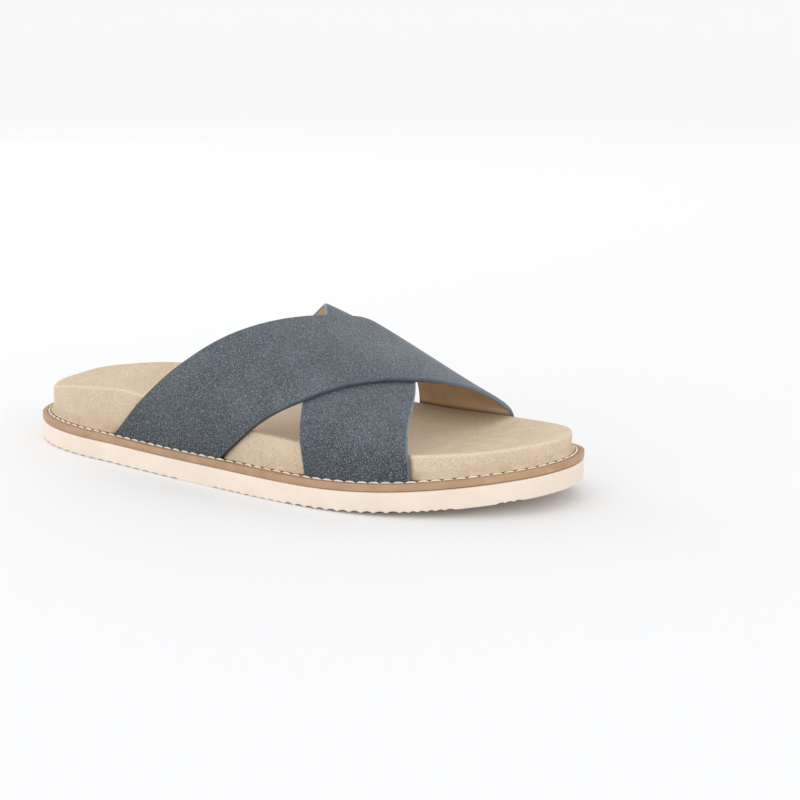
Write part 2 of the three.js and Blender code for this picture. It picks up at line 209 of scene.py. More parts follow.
# Stations of the straps' edges at shares of the way over the foot, from the lateral base. The shares
# are measured along the vault's section at SHARE_STATION.
STRAP_EDGES = {
    "share": (0, 0.1, 0.25, 0.5, 0.75, 1),
    "over_rear": (0.24, 0.312, 0.4155, 0.558, 0.634, 0.653),
    "over_front": (0.48, 0.542, 0.645, 0.749, 0.809, 0.835),
    "under_rear": (0.645, 0.636, 0.619, 0.565, 0.436, 0.251),
    "under_front": (0.813, 0.81, 0.794, 0.737, 0.598, 0.436),
}


def smooth(u):
    """An S-shaped step from 0 to 1."""
    t = np.clip(u, 0, 1)
    return t * t * (3 - 2 * t)


def band(value, start, rise, stop, fall):
    """1 between two values and 0 outside them, with a soft rise after the start and fall to the stop."""
    return smooth((value - start) / rise) * smooth((stop - value) / fall)


def along(table, key, column, place):
    """A smooth curve through one column of a table, at places along its key column."""
    keys = np.array(table[key], float)
    values = np.array(table[column], float)
    at = np.clip(place, keys[0], keys[-1])
    i = np.clip(np.searchsorted(keys, at, side="right") - 1, 0, len(keys) - 2)
    before = np.maximum(np.arange(len(keys)) - 1, 0)
    after = np.minimum(np.arange(len(keys)) + 1, len(keys) - 1)
    slopes = (values[after] - values[before]) / (keys[after] - keys[before])
    span = keys[i + 1] - keys[i]
    u = (at - keys[i]) / span
    rise = 3 * u**2 - 2 * u**3
    held = values[i] * (1 - rise) + values[i + 1] * rise
    return held + span * (slopes[i] * (u - 2 * u**2 + u**3) + slopes[i + 1] * (u**3 - u**2))


def station_x(station):
    return (station - 0.5) * LENGTH


def x_station(x):
    return x / LENGTH + 0.5


def zone(x, most, start, rise, stop, fall):
    """A strength that holds between two stations and is 0 outside them, with soft ends."""
    return most * band(x, station_x(start), rise, station_x(stop), fall)


def spring(x):
    """How far the toe spring lifts the sole at places along it."""
    start = station_x(SPRING_START)
    return TOE_SPRING * (np.maximum(x - start, 0) / (LENGTH / 2 - start)) ** 2


def closed_curve(knots, steps):
    """A closed centripetal Catmull-Rom curve through knots, with a number of steps from knot to knot."""
    before, after, far = (np.roll(knots, k, axis=0) for k in (1, -1, -2))

    def reach(a, b):
        return np.sum((a - b) ** 2, axis=1, keepdims=True) ** 0.25

    d0, d1, d2 = reach(before, knots), reach(knots, after), reach(after, far)
    leave = ((knots - before) / d0 - (after - before) / (d0 + d1) + (after - knots) / d1) * d1
    arrive = ((after - knots) / d1 - (far - knots) / (d1 + d2) + (far - after) / d2) * d1
    u = np.linspace(0, 1, steps, endpoint=False)[None, :, None]
    rise = 3 * u**2 - 2 * u**3
    knots, after, leave, arrive = (a[:, None, :] for a in (knots, after, leave, arrive))
    curve = knots * (1 - rise) + after * rise + leave * (u - 2 * u**2 + u**3) + arrive * (u**3 - u**2)
    return curve.reshape(-1, knots.shape[-1])


def spaced(curve, count):
    """Points at equal distances along a closed curve, from its first point."""
    closed = np.vstack((curve, curve[:1]))
    length = np.concatenate(([0], np.cumsum(np.linalg.norm(np.diff(closed, axis=0), axis=1))))
    at = np.linspace(0, length[-1], count, endpoint=False)
    return np.column_stack([np.interp(at, length, closed[:, k]) for k in range(closed.shape[1])])


def sole_outline():
    """The sole's outline, counter-clockwise from the toe tip, with its box centred on the origin."""
    steps_per_knot = 80
    x = station_x(np.array(OUTLINE["station"]))
    width = np.where(np.arange(len(x)) < HEEL_ROWS, HEEL_WIDTH, BALL_WIDTH)
    medial = np.column_stack((x, width * OUTLINE["medial"]))
    lateral = np.column_stack((x, -width * OUTLINE["lateral"]))
    toe = (LENGTH / 2, TOE_TIP_SHIFT * BALL_WIDTH)
    heel = (-LENGTH / 2, 0)
    curve = closed_curve(np.vstack((toe, medial[::-1], heel, lateral)), steps_per_knot)
    return spaced(curve - (curve.min(axis=0) + curve.max(axis=0)) / 2, FINE_STEPS)


def inset(line, distance):
    """A closed outline moved inwards, square to itself. distance may differ from point to point."""
    heading = np.roll(line, -1, axis=0) - np.roll(line, 1, axis=0)
    heading /= np.linalg.norm(heading, axis=1, keepdims=True)
    inward = np.column_stack((-heading[:, 1], heading[:, 0]))
    return line + inward * np.reshape(distance * np.ones(len(line)), (-1, 1))


class Sides:
    """The lateral and medial side of the sole's outline, inset by a distance, as functions of x."""

    def __init__(self, distance):
        line = inset(FINE_OUTLINE, distance)
        line = np.roll(line, -np.argmax(line[:, 0]), axis=0)
        heel = np.argmin(line[:, 0])
        self.medial_line = line[: heel + 1][::-1]
        self.lateral_line = np.vstack((line[heel:], line[:1]))

    def lateral(self, x):
        return np.interp(x, *self.lateral_line.T)

    def medial(self, x):
        return np.interp(x, *self.medial_line.T)


FINE_OUTLINE = sole_outline()
RING = FINE_OUTLINE[:: FINE_STEPS // RING_STEPS]
WALL_SIDES = Sides(WELT_LEDGE)
STRAP_SIDES = Sides(WELT_LEDGE - LAYER_GAP - STRAP_THICKNESS)


def skin(loops):
    """Vertices and faces of a closed skin over a row of loops of equal, even count.

    The loops turn counter-clockwise seen from the row's far end. Rungs across close both ends.
    """
    rows, count = loops.shape[:2]
    i = np.arange(count)
    j = (i + 1) % count
    base = np.arange(rows - 1)[:, None] * count
    walls = np.stack((base + i, base + j, base + count + j, base + count + i), axis=-1).reshape(-1, 4)
    k = np.arange(1, count // 2 - 1)
    rungs = np.stack((k, k + 1, count - k - 1, count - k), axis=-1)
    tips = [(0, 1, count - 1), (count // 2 - 1, count // 2, count // 2 + 1)]
    top = (rows - 1) * count
    caps = [list(top + face) for face in rungs] + [list(face[::-1]) for face in rungs]
    caps += [[top + n for n in tip] for tip in tips] + [list(tip[::-1]) for tip in tips]
    return loops.reshape(-1, 3), walls.tolist() + [[int(n) for n in face] for face in caps]


def make_piece(name, node, points, faces, materials, sharp_angle):
    """A mesh object that takes its finish from a slot, and stands for a node of the frame if one is named.

    Edges that turn by more than the sharp angle, in degrees, aren't smoothed.
    """
    mesh = bpy.data.meshes.new(name)
    mesh.from_pydata((points * MM).tolist(), [], faces)
    for material in materials:
        mesh.materials.append(material)
    mesh.shade_smooth()
    mesh.set_sharp_from_angle(angle=math.radians(sharp_angle))
    piece = bpy.data.objects.new(name, mesh)
    bpy.context.scene.collection.objects.link(piece)
    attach(piece, BODY)
    if node:
        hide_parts(node)
    return piece


def paint(piece, name, values):
    """Writes one number to each vertex, for the material to read."""
    layer = piece.data.attributes.new(name, "FLOAT", "POINT")
    layer.data.foreach_set("value", np.asarray(values, dtype=np.float32).ravel())


# Places of the colour sockets among a Mix node's inputs and outputs
MIX_FIRST = 6
MIX_SECOND = 7
MIX_RESULT = 2


class Shader:
    """A material under construction, with short calls for the nodes that it needs."""

    def __init__(self, name, roughness, sheen=0.0, sheen_tint=(1, 1, 1, 1)):
        self.material = bpy.data.materials.new(name)
        self.material.use_nodes = True
        self.nodes = self.material.node_tree.nodes
        self.links = self.material.node_tree.links
        self.surface = self.nodes["Principled BSDF"]
        self.surface.inputs["Roughness"].default_value = roughness
        self.surface.inputs["Sheen Weight"].default_value = sheen
        self.surface.inputs["Sheen Roughness"].default_value = 0.45
        self.surface.inputs["Sheen Tint"].default_value = sheen_tint
        self.place = self.nodes.new("ShaderNodeTexCoord").outputs["Object"]

    def put(self, value, socket):
        """Links a socket to a value that is an output, or sets it."""
        if isinstance(value, bpy.types.NodeSocket):
            self.links.new(value, socket)
        else:
            socket.default_value = value

    def stretched(self, scale):
        """The object's coordinates, stretched along the axes."""
        node = self.nodes.new("ShaderNodeMapping")
        self.links.new(self.place, node.inputs["Vector"])
        node.inputs["Scale"].default_value = scale
        return node.outputs["Vector"]

    def noise(self, size, detail=2.0, roughness=0.5, place=None):
        """Noise whose lumps have a size in millimetres."""
        node = self.nodes.new("ShaderNodeTexNoise")
        self.links.new(place or self.place, node.inputs["Vector"])
        node.inputs["Scale"].default_value = 1 / (size * MM)
        node.inputs["Detail"].default_value = detail
        node.inputs["Roughness"].default_value = roughness
        return node.outputs["Fac"]

    def spots(self, size):
        """Distance from the middle of small cells with a size in millimetres."""
        node = self.nodes.new("ShaderNodeTexVoronoi")
        self.links.new(self.place, node.inputs["Vector"])
        node.inputs["Scale"].default_value = 1 / (size * MM)
        return node.outputs["Distance"]

    def attribute(self, name):
        """What paint wrote to the vertices under a name."""
        node = self.nodes.new("ShaderNodeAttribute")
        node.attribute_name = name
        return node.outputs["Fac"]

    def span(self, value, low, high, out_low=0.0, out_high=1.0):
        """A value between low and high, carried smoothly over to another range."""
        node = self.nodes.new("ShaderNodeMapRange")
        node.interpolation_type = "SMOOTHSTEP"
        self.put(value, node.inputs["Value"])
        ends = {"From Min": low, "From Max": high, "To Min": out_low, "To Max": out_high}
        for name, number in ends.items():
            node.inputs[name].default_value = number
        return node.outputs["Result"]

    def times(self, a, b):
        """The product of two values."""
        node = self.nodes.new("ShaderNodeMath")
        node.operation = "MULTIPLY"
        self.put(a, node.inputs[0])
        self.put(b, node.inputs[1])
        return node.outputs["Value"]

    def mix(self, share, a, b):
        """A blend of two colours."""
        node = self.nodes.new("ShaderNodeMix")
        node.data_type = "RGBA"
        self.put(share, node.inputs["Factor"])
        self.put(a, node.inputs[MIX_FIRST])
        self.put(b, node.inputs[MIX_SECOND])
        return node.outputs[MIX_RESULT]

    def bump(self, height, distance, strength=1.0, under=None):
        """Raises the surface by a height times a distance in millimetres."""
        node = self.nodes.new("ShaderNodeBump")
        node.inputs["Strength"].default_value = strength
        node.inputs["Distance"].default_value = distance * MM
        self.links.new(height, node.inputs["Height"])
        if under:
            self.links.new(under, node.inputs["Normal"])
        return node.outputs["Normal"]

    def finish(self, colour, normal=None):
        """Links the colour and the bump to the surface, and gives the finished material."""
        self.links.new(colour, self.surface.inputs["Base Color"])
        if normal:
            self.links.new(normal, self.surface.inputs["Normal"])
        return self.material


def tone(red, green, blue):
    """A colour as a picture shows it, from 0 to 255, made linear for a shader."""
    def linear(value):
        v = value / 255
        return v / 12.92 if v <= 0.04045 else ((v + 0.055) / 1.055) ** 2.4
    return (linear(red), linear(green), linear(blue), 1.0)


def strap_suede():
    """Blue-grey split suede: mottled, with paler hairs that stand out of the nap.

    Painted shade darkens it towards the welt, and a painted highlight lightens it over the front.
    """
    s = Shader("strap suede", 0.92, sheen=0.3, sheen_tint=tone(205, 210, 216))
    cloud = s.noise(24, 3, 0.55)
    patch = s.noise(7, 4, 0.6)
    nap = s.noise(1.0, 3, 0.7)
    hair = s.noise(0.52, 2, 0.7)
    base = s.mix(s.span(cloud, 0.34, 0.66), tone(73, 81, 88), tone(92, 100, 107))
    base = s.mix(s.span(patch, 0.36, 0.64, 0, 0.5), base, tone(69, 77, 85))
    # Painted shade towards the welt, then a painted highlight over the front
    base = s.mix(s.attribute("shade"), base, tone(42, 47, 55))
    base = s.mix(s.attribute("painted_highlight"), base, tone(128, 134, 140))
    base = s.mix(s.span(nap, 0.46, 0.6, 0, 0.62), base, tone(44, 50, 58))
    base = s.mix(s.span(hair, 0.52, 0.64, 0, 0.72), base, tone(147, 154, 160))
    normal = s.bump(nap, 0.4, 0.8)
    normal = s.bump(hair, 0.35, 0.8, normal)
    return s.finish(base, normal)


def edge_paint(name, deep, pale, foot):
    """The straps' cut edges under a coat of blue-grey edge paint, with a painted highlight over the front
    and painted shade at the foot.
    """
    s = Shader(name, 0.5)
    patch = s.noise(5, 3)
    base = s.mix(s.span(patch, 0.35, 0.65), deep, pale)
    # Painted highlight over the front, then painted shade at the foot
    base = s.mix(s.span(s.attribute("painted_highlight"), 0.1, 0.3, 0, 0.8), base, tone(118, 132, 144))
    base = s.mix(s.span(s.attribute("shade"), 0.0, 0.5, 0, 0.9), base, foot)
    return s.finish(base, s.bump(s.noise(1.4, 2), 0.12, 0.5))


def lining():
    """Smooth beige lining leather with a faint grain, painted light at its edges and painted shadow beside
    the rim.
    """
    s = Shader("lining leather", 0.62)
    patch = s.noise(11, 3)
    grain = s.spots(1.1)
    base = s.mix(s.span(patch, 0.3, 0.7), tone(182, 153, 119), tone(193, 165, 131))
    base = s.mix(s.span(grain, 0.0, 0.6, 0.12, 0), base, tone(150, 120, 88))
    # Painted light along the lining's edges, then painted shadow beside the footbed's rim
    base = s.mix(s.attribute("lining_highlight"), base, tone(240, 213, 180))
    base = s.mix(s.attribute("foot"), base, tone(70, 48, 30))
    return s.finish(base, s.bump(grain, 0.12, 0.5))


def footbed_suede():
    """Sand suede with a short nap and fine dark and pale flecks.

    It has mottled painted shade, a painted highlight on the rim, painted light under the straps and painted
    shadow.
    """
    s = Shader("footbed suede", 0.9, sheen=0.2, sheen_tint=tone(250, 236, 214))
    cloud = s.noise(30, 3, 0.5)
    patch = s.noise(5.5, 3, 0.6)
    nap = s.noise(0.7, 3, 0.7)
    mottled_shade = s.times(s.attribute("shade"), s.span(s.noise(11, 3, 0.6), 0.34, 0.66, 0.25, 1))
    base = s.mix(s.span(cloud, 0.3, 0.7), tone(209, 190, 165), tone(217, 200, 176))
    base = s.mix(s.span(patch, 0.35, 0.7, 0, 0.4), base, tone(203, 180, 151))
    base = s.mix(s.span(nap, 0.5, 0.66, 0, 0.6), base, tone(176, 148, 116))
    base = s.mix(s.span(nap, 0.44, 0.3, 0, 0.5), base, tone(240, 224, 200))
    # Mottled painted shade, a painted highlight on the rim, painted light under the straps, then painted
    # shadow
    base = s.mix(mottled_shade, base, tone(168, 134, 96))
    base = s.mix(s.times(s.attribute("painted_highlight"), 0.22), base, tone(240, 224, 200))
    base = s.mix(s.attribute("pale"), base, tone(250, 238, 220))
    base = s.mix(s.attribute("shadow"), base, tone(112, 90, 64))
    return s.finish(base, s.bump(nap, 0.3, 0.7))


def welt_leather():
    """Tan leather with a smooth burnished edge, and painted shade in the groove, along the seam and in the
    needle holes.
    """
    s = Shader("welt leather", 0.55)
    patch = s.noise(9, 3)
    layer = s.noise(2.2, 2, place=s.stretched((0.12, 0.12, 1.6)))
    base = s.mix(s.span(patch, 0.3, 0.7), tone(172, 138, 106), tone(184, 151, 119))
    base = s.mix(s.span(layer, 0.4, 0.7, 0, 0.3), base, tone(158, 118, 82))
    base = s.mix(s.attribute("shade"), base, tone(66, 43, 27))
    return s.finish(base, s.bump(layer, 0.15, 0.5))


def thread():
    """Waxed off-white thread."""
    s = Shader("welt thread", 0.6)
    patch = s.noise(6, 2)
    base = s.mix(s.span(patch, 0.35, 0.65), tone(227, 215, 196), tone(243, 234, 218))
    return s.finish(base, s.bump(s.noise(0.3, 2), 0.08, 0.5))


def outsole_foam():
    """Smooth moulded foam, cream with a touch of peach."""
    s = Shader("outsole foam", 0.6)
    patch = s.noise(18, 2)
    pore = s.noise(0.8, 2)
    base = s.mix(s.span(patch, 0.3, 0.7), tone(234, 219, 203), tone(240, 226, 211))
    base = s.mix(s.span(pore, 0.62, 0.75, 0, 0.25), base, tone(216, 196, 177))
    # Painted shade towards the toe and in the flutes
    base = s.mix(s.attribute("shade"), base, tone(164, 140, 118))
    return s.finish(base, s.bump(pore, 0.1, 0.4))


def flute(x):
    """How deep a flute is cut at places along the tread, and 0 outside its fields."""
    cut = np.zeros_like(x)
    for start, end, pitch, depth in TREAD_FIELDS:
        room = (end - start) * LENGTH
        count = max(round(room / pitch), 1)
        place = (x - station_x(start)) / room * count
        off = (place - np.floor(place) - 0.5) * 2 / FLUTE_SHARE
        inside = (place >= 0) & (place < count)
        cut = np.where(inside, depth * np.clip(1 - off**2, 0, 1), cut)
    return cut


def outsole_loop():
    """The outsole's section: inset, way across, lift, and the end it is lifted from, 0 below or 1 on top.

    It starts in the middle of the underside, so that the skin's caps run across the sole.
    """
    corner, columns = 4, 14
    side_middle, side_top = 4.6, 2
    turns = np.linspace(0, math.pi / 2, corner + 1)
    low = [(UNDER_RADIUS * (1 - math.sin(t)), UNDER_RADIUS * (1 - math.cos(t)), 0) for t in turns]
    high = [(TOP_RADIUS * (1 - math.cos(t)), TOP_RADIUS * (math.sin(t) - 1), 1) for t in turns]
    wall = [(0, FLUTE_TOP, 0), (0, side_middle, 0), (0, -side_top, 1)]
    medial = [(d, 1, lift, end) for d, lift, end in low + wall + high]
    under = [(UNDER_RADIUS, v, 0, 0) for v in np.linspace(-1, 1, columns + 1)[1:-1]]
    over = [(TOP_RADIUS, v, 0, 1) for v in np.linspace(1, -1, columns + 1)[1:-1]]
    lateral = [(d, -v, lift, end) for d, v, lift, end in medial[::-1]]
    middle = columns // 2 - 1
    return under[middle:] + medial + over + lateral + under[:middle]


def build_outsole(material):
    """The outsole as slices across it, which stand closer at the heel's and the toe's tip."""
    loop = outsole_loop()
    tips = np.array((0.004, 0.016, 0.036, 0.065, 0.1, 0.15, 0.2, 0.26, 0.33))
    middle = np.linspace(-LENGTH / 2, LENGTH / 2, SOLE_SLICES + 1)[1:-1]
    stations = np.concatenate((-LENGTH / 2 + tips, middle, (LENGTH / 2 - tips)[::-1]))
    sides = {d: Sides(d) for d in {row[0] for row in loop}}
    loops = np.empty((len(stations), len(loop), 3))
    for k, (distance, across, lift, end) in enumerate(loop):
        x = stations * (LENGTH / 2 - distance) / (LENGTH / 2)
        lateral = sides[distance].lateral(x)
        medial = sides[distance].medial(x)
        y = (lateral + medial) / 2 + (medial - lateral) / 2 * across
        height = OUTSOLE_THICKNESS * end + flute(x) * (1 - end) * (lift < FLUTE_TOP) + lift
        loops[:, k] = np.column_stack((x, y, spring(x) + height))
    points, faces = skin(loops)
    piece = make_piece("outsole_foam", "outsole", points, faces, [material], 50)
    # Painted shade towards the toe and in the flutes
    toe_shade, toe_start, toe_way, flute_shade = 0.13, 20, 90, 0.08
    fluted = np.array([end == 0 and lift < FLUTE_TOP for _, _, lift, end in loop])
    toe = toe_shade * smooth((stations - toe_start) / toe_way)
    paint(piece, "shade", toe[:, None] + flute_shade * flute(stations)[:, None] * fluted)


def ring_at(distance, share=1.0):
    """A ring inside the sole: the outline inset, drawn in by a share to a spine.

    The spine lies on the middle line and is SPINE_REACH times as long as the outline.
    """
    line = inset(RING, distance)
    x = line[:, 0] * SPINE_REACH
    spine = np.column_stack((x, (WALL_SIDES.lateral(x) + WALL_SIDES.medial(x)) / 2))
    return spine + (line - spine) * share


def raised(ring, height):
    """A ring with heights above the sprung sole."""
    return np.column_stack((ring, spring(ring[:, 0]) + height))


def stitch_inset():
    """How far in the stitches run at each point of the ring: further out where they pass a strap."""
    turn_way = 14
    return STITCH_INSET + (STITCH_STRAP_INSET - STITCH_INSET) * strap_cover(RING, turn_way)


def stitch_places():
    """The stitches' line, the way along it to its points and to each hole, and its whole length."""
    line = inset(RING, stitch_inset())
    steps = np.linalg.norm(np.roll(line, -1, axis=0) - line, axis=1)
    way = np.concatenate(([0], np.cumsum(steps)))
    whole = steps.sum()
    count = round(whole / STITCH_PITCH)
    return line, way, np.arange(count) * whole / count, whole


def build_welt(material):
    """The welt's sheet, with soft edges, the groove outside the stitches and the needle holes.

    A row is one ring of it: inset, share of the way out, height, how far the holes dent it, and the
    darkness of painted shade.
    """
    seam_shade, hole_shade = 0.2, 0.32
    turns = np.linspace(0, math.pi / 2, 5)
    curve = [(WELT_ROUNDING * (1 - math.sin(t)), WELT_ROUNDING * (1 - math.cos(t))) for t in turns]
    seam = stitch_inset()
    groove = seam - GROOVE_OFFSET
    groove_floor = WELT_TOP - GROOVE_DEPTH
    rows = [(0, share, WELT_BASE, 0, 0) for share in FACE_SHARES]
    rows += [(d, 1, WELT_BASE + rise, 0, 0) for d, rise in curve]
    rows += [(0, 1, WELT_BASE + WELT_THICKNESS / 2, 0, 0)]
    rows += [(d, 1, WELT_TOP - fall, 0, 0) for d, fall in curve[::-1]]
    rows += [(groove - 0.4, 1, WELT_TOP, 0, 0), (groove - 0.2, 1, groove_floor, 0, 0.5)]
    rows += [(groove + 0.15, 1, groove_floor, 0, 0.5), (groove + 0.35, 1, WELT_TOP, 0, 0.3)]
    rows += [(seam + step, 1, WELT_TOP, dent, seam_shade) for step, dent in ((0, 1), (0.45, 0.7), (0.9, 0))]
    rows += [(WELT_LEDGE, 1, WELT_TOP, 0, seam_shade)]
    rows += [(WELT_LEDGE, share, WELT_TOP, 0, 0) for share in (0.9, 0.6, 0.3, 0.05)]
    _, way, holes, whole = stitch_places()
    off = np.abs((way[:-1, None] - holes[None, :] + whole / 2) % whole - whole / 2).min(axis=1)
    hole = 1 - smooth(off / HOLE_REACH)
    loops = [raised(ring_at(d, share), z - HOLE_DEPTH * dent * hole) for d, share, z, dent, _ in rows]
    points, faces = skin(np.stack(loops))
    piece = make_piece("welt_leather", "welt", points, faces, [material], 40)
    paint(piece, "shade", [np.clip(dark + hole_shade * dent * hole, 0, 1) for _, _, _, dent, dark in rows])


def build_stitches(material):
    """The running stitch: short, fat, two-ply stitches that dip into the welt at both ends."""
    line, way, holes, whole = stitch_places()
    closed = np.vstack((line, line[:1]))
    shake = random.Random(7)
    rings, sides = 16, 12
    slant_shake, least_size, most_size = 0.06, 0.92, 1.06
    blunt, flat = 2.6, 0.85
    loops = []
    for place in holes + whole / len(holes) / 2:
        u = np.linspace(-1, 1, rings)
        at = place + u * STITCH_LENGTH / 2
        middle = np.column_stack([np.interp(at % whole, way, closed[:, k]) for k in range(2)])
        heading = middle[-1] - middle[0]
        heading /= np.linalg.norm(heading)
        across = np.array((-heading[1], heading[0]))
        slant = -STITCH_SLANT + shake.uniform(-slant_shake, slant_shake)
        middle = middle + across * (u * slant)[:, None]
        full = np.sqrt(np.clip(1 - np.abs(u) ** blunt, 0.0004, 1)) * shake.uniform(least_size, most_size)
        lift = WELT_TOP + STITCH_ARCH * (1 - u**2) - STITCH_DIP * np.abs(u) ** 4
        turn = np.arange(sides) / sides * math.tau
        ply = 1 + PLY_DEPTH * np.cos(2 * (turn[None, :] - math.pi * PLY_TURNS * u[:, None]))
        radius = STITCH_RADIUS * full[:, None] * ply
        x = middle[:, 0, None] + across[0] * radius * np.cos(turn)
        y = middle[:, 1, None] + across[1] * radius * np.cos(turn)
        z = spring(x) + lift[:, None] + radius * np.sin(turn) * flat
        loops.append(np.stack((x, y, z), axis=-1)[:, ::-1])
    points, faces = [], []
    for stitch in loops:
        own_points, own_faces = skin(stitch)
        faces += [[n + len(points) * rings * sides for n in face] for face in own_faces]
        points.append(own_points)
    make_piece("welt_stitches", None, np.vstack(points), faces, [material], 60)


def rim_height(line):
    """Height of the footbed's rim above its seat at points of the plan, blended across the width."""
    x, y = line[:, 0], line[:, 1]
    lateral, medial = WALL_SIDES.lateral(x), WALL_SIDES.medial(x)
    across = smooth((y - lateral) / np.maximum(medial - lateral, 1e-6))
    low = along(FOOTBED, "station", "lateral", x_station(x))
    high = along(FOOTBED, "station", "medial", x_station(x))
    return RIM_HEIGHT * (low + (high - low) * across)


def bowl_height(line, share):
    """The footbed's top inside its rim: a bowl whose sides rise from the bed to the rim."""
    x, y = line[:, 0], line[:, 1]
    station = x_station(x)
    side = smooth(0.5 + (y - (WALL_SIDES.lateral(x) + WALL_SIDES.medial(x)) / 2) / BALL_WIDTH)
    lateral = along(FOOTBED, "station", "lateral_slope", station)
    medial = along(FOOTBED, "station", "medial_slope", station)
    bed = RIM_HEIGHT * along(FOOTBED, "station", "bed", station)
    return bed + (rim_height(line) - bed) * share ** (lateral + (medial - lateral) * side)


def strap_cover(line, soft):
    """1 where a strap stands against the footbed's wall, and 0 where the wall is free.

    soft is the length over which the one turns into the other.
    """
    x, y = line[:, 0], line[:, 1]
    cover = np.zeros(len(x))
    for end, side in ((0, y < 0), (-1, y >= 0)):
        for rear, front in (("over_rear", "over_front"), ("under_rear", "under_front")):
            start, stop = (station_x(STRAP_EDGES[name][end]) for name in (rear, front))
            cover = np.maximum(cover, side * band(x, start - soft, soft, stop + soft, soft))
    return cover


def strap_shadow(line):
    """How far the footbed's outer wall is darkened close in front of a strap's lateral edge."""
    x, y, z = line.T
    turn, rise, share = (row[:WALL_ROWS] for row in strap_rows())
    shadow = np.zeros(len(x))
    for name in ("over_front", "under_front"):
        edge = station_x(along(STRAP_EDGES, "share", name, share))
        edge_height = vault(edge, turn, rise)[:, 2] - spring(edge) - SEAT
        past = x - np.interp(z - spring(x) - SEAT, edge_height, edge)
        shadow = np.maximum(shadow, STRAP_SHADOW * band(past, *STRAP_SHADOW_BAND))
    return shadow * (y < 0)


def footbed_rings():
    """The footbed's rings over its seat, lower edge, wall, rim and bowl, and the rim's first index."""
    edge_soft, close_up, least_share = 2.5, 1.25, 0.03
    rings = [raised(ring_at(WELT_LEDGE, share), SEAT) for share in FACE_SHARES]
    base = inset(RING, WELT_LEDGE)
    free = 1 - strap_cover(base, edge_soft)
    for reach, height, _ in LOWER_EDGE:
        rings.append(raised(inset(RING, WELT_LEDGE - TURN_OUT * reach * free), SEAT + height))
    wall_foot = LOWER_EDGE[-1][1]
    wall_rise = rim_height(base) - RIM_RADIUS - wall_foot
    for k in range(1, WALL_RINGS + 1):
        rings.append(raised(base, SEAT + wall_foot + wall_rise * k / (WALL_RINGS + 1)))
    rim_start = len(rings)
    for t in np.linspace(0, math.pi / 2, RIM_RINGS + 1):
        line = ring_at(WELT_LEDGE + RIM_RADIUS * (1 - math.cos(t)))
        rings.append(raised(line, SEAT + rim_height(line) - RIM_RADIUS * (1 - math.sin(t))))
    for k in range(BOWL_RINGS + 1):
        share = 1 - (k / BOWL_RINGS) ** close_up * (1 - least_share)
        line = ring_at(WELT_LEDGE + RIM_RADIUS + RIM_FLAT, share)
        rings.append(raised(line, SEAT + bowl_height(line, share)))
    return np.stack(rings), rim_start


def build_footbed(material):
    """The footbed in its suede cover, whose lower edge turns out to meet the stitches."""
    rings, rim_start = footbed_rings()
    points, faces = skin(rings)
    piece = make_piece("footbed_suede", "footbed", points, faces, [material], 60)
    wall_foot_shade, shadow_rings = 0.1, 12
    crest = rim_start + RIM_RINGS
    wall_start = rim_start - WALL_RINGS
    edge_start = wall_start - len(LOWER_EDGE)
    base = rings[wall_start]
    top_x = rings[crest:, :, 0]
    painted_highlight, pale, shade, shadow = np.zeros((4, len(rings), RING_STEPS))

    # Painted highlight along the rim
    painted_highlight[rim_start : crest + 1] = np.sin(np.linspace(0, math.pi, RIM_RINGS + 1))[:, None] ** 2
    # Painted light on the top under the straps
    pale[crest:] = zone(top_x, *PAINTED_LIGHT_ZONE)
    # Painted shade at the lower edge and over the toe
    shade[edge_start:wall_start] = np.array(LOWER_EDGE)[:, 2:]
    shade[wall_start] = wall_foot_shade
    shade[crest:] = zone(top_x, *TOE_SHADE_ZONE)
    for k in range(edge_start, crest):
        shadow[k] = strap_shadow(rings[k])
    fade = np.linspace(1, 0, shadow_rings, endpoint=False)[:, None]
    shadow[crest : crest + shadow_rings] = fade * zone(base[:, 0], *SHADOW_ZONE) * (base[:, 1] > 0)
    for name, values in (("painted_highlight", painted_highlight), ("pale", pale), ("shade", shade), ("shadow", shadow)):
        paint(piece, name, values)


def side_rim(x, turn):
    """Height of the footbed's rim above its seat on the side where a turn of the vault lies."""
    lateral, medial = (along(FOOTBED, "station", side, x_station(x)) for side in ("lateral", "medial"))
    return RIM_HEIGHT * np.where(turn < math.pi / 2, lateral, medial)


def vault(x, turn, rise):
    """Points of the vault that the lower strap's outer face follows.

    turn goes from 0 at the lateral base to pi at the medial base. rise is 0 at the foot of the upright
    part and 1 from its top on.
    """
    seat = spring(x) + SEAT
    lateral, medial = STRAP_SIDES.lateral(x), STRAP_SIDES.medial(x)
    crest = (lateral + medial) / 2 + CREST_OFFSET - CREST_DRIFT * (x / (LENGTH / 2))
    ease = MEDIAL_EASE * smooth((x_station(x) - EASE_FROM) / (EASE_FULL - EASE_FROM))
    power = 2 / (FULLNESS - np.where(turn < math.pi / 2, 0, ease))
    out = np.abs(np.cos(turn)) ** power
    up = np.sin(turn) ** power
    spread = crest + (np.where(turn < math.pi / 2, lateral, medial) - crest) * out
    top = VAULT_HEIGHT * along(VAULT, "station", "crest", x_station(x))
    shoulder = seat + UPRIGHT_SHARE * side_rim(x, turn) * rise
    return np.stack((x, spread, shoulder + (top - shoulder) * up), axis=-1)


def strap_rows():
    """Rows across the foot: turn, rise, and the share of the way over."""
    upright = 10
    foot = np.linspace(0, 1, upright, endpoint=False)
    turn = np.concatenate((0 * foot, np.linspace(0, math.pi, STRAP_ROWS), math.pi + 0 * foot))
    rise = np.concatenate((foot, np.ones(STRAP_ROWS), foot[::-1]))
    turn = np.clip(turn, 0, math.pi - 1e-9)
    line = vault(np.full(len(turn), station_x(SHARE_STATION)), turn, rise)
    way = np.concatenate(([0], np.cumsum(np.linalg.norm(np.diff(line, axis=0), axis=1))))
    return turn, rise, way / way[-1]


